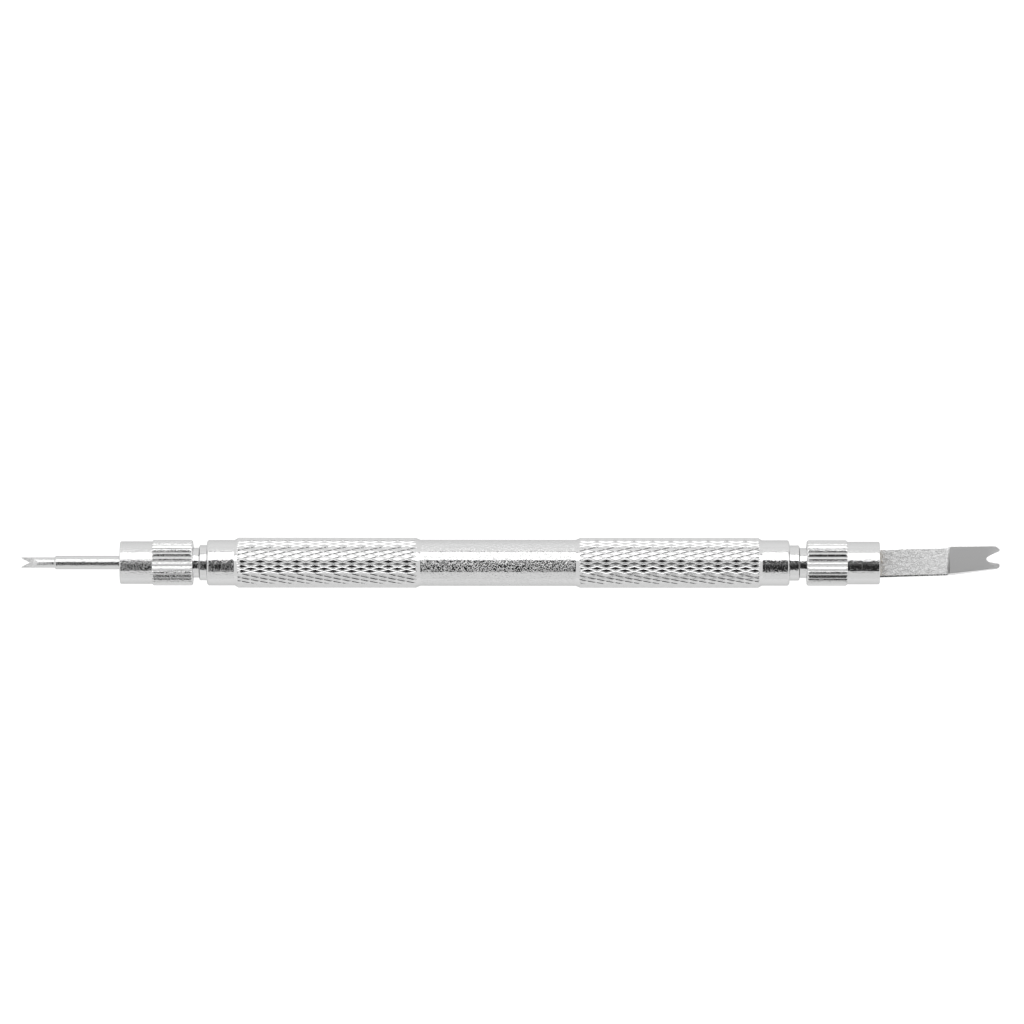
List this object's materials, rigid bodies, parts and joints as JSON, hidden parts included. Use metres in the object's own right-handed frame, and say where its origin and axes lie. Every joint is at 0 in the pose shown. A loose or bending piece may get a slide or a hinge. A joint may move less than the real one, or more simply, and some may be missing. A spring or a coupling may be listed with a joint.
{
  "type": "spring bar tool",
  "caption": "Double-ended watch strap tool: knurled round handle with a screw chuck at each end, one holding a fine pin fork and one a wide bent blade fork.",
  "frame": {"origin": "on the tool's axis, midway between the two fork ends", "axes": "+X along the axis towards the wide fork, +Z out of the forks' faces, +Y across them"},
  "size_m": [0.15, 0.0076, 0.0076],
  "materials": {
    "plated_handle": "bright nickel plate",
    "plated_chuck": "bright nickel plate",
    "plated_nut": "bright nickel plate",
    "collet_brass": "turned",
    "pin_steel": "bright ground",
    "blade_steel": "satin"
  },
  "bodies": {
    "handle": {"handle_barrel": "plated_handle", "pin_chuck_stud": "plated_chuck", "blade_chuck_stud": "plated_chuck"},
    "pin_collet_body": {"pin_collet": "collet_brass"},
    "pin_nut_body": {"pin_chuck_nut": "plated_nut"},
    "fine_tip": {"fine_fork_tip": "pin_steel"},
    "blade_collet_body": {"blade_collet": "collet_brass"},
    "blade_nut_body": {"blade_chuck_nut": "plated_nut"},
    "wide_blade": {"wide_fork_blade": "blade_steel"}
  },
  "joints": [
    {"name": "pin_collet_travel", "type": "slide", "parent": "handle", "child": "pin_collet_body", "axis": [-1, 0, 0], "range_m": [0, 0.00305]},
    {"name": "pin_nut_turn", "type": "hinge", "parent": "pin_collet_body", "child": "pin_nut_body", "pos_m": [-0.05985, 0, 0], "axis": [-1, 0, 0], "range_deg": [0, 2200]},
    {"name": "pin_tip_pull", "type": "slide", "parent": "pin_collet_body", "child": "fine_tip", "axis": [-1, 0, 0], "range_m": [0, 0.0135]},
    {"name": "blade_collet_travel", "type": "slide", "parent": "handle", "child": "blade_collet_body", "axis": [1, 0, 0], "range_m": [0, 0.00305]},
    {"name": "blade_nut_turn", "type": "hinge", "parent": "blade_collet_body", "child": "blade_nut_body", "pos_m": [0.05655, 0, 0], "axis": [1, 0, 0], "range_deg": [0, 2200]},
    {"name": "blade_tip_pull", "type": "slide", "parent": "blade_collet_body", "child": "wide_blade", "axis": [1, 0, 0], "range_m": [0, 0.0115]}
  ],
  "couplings": [
    {"joint": "pin_nut_turn", "follows": "pin_collet_travel", "rad_per_m": 12566},
    {"joint": "blade_nut_turn", "follows": "blade_collet_travel", "rad_per_m": 12566}
  ]
}
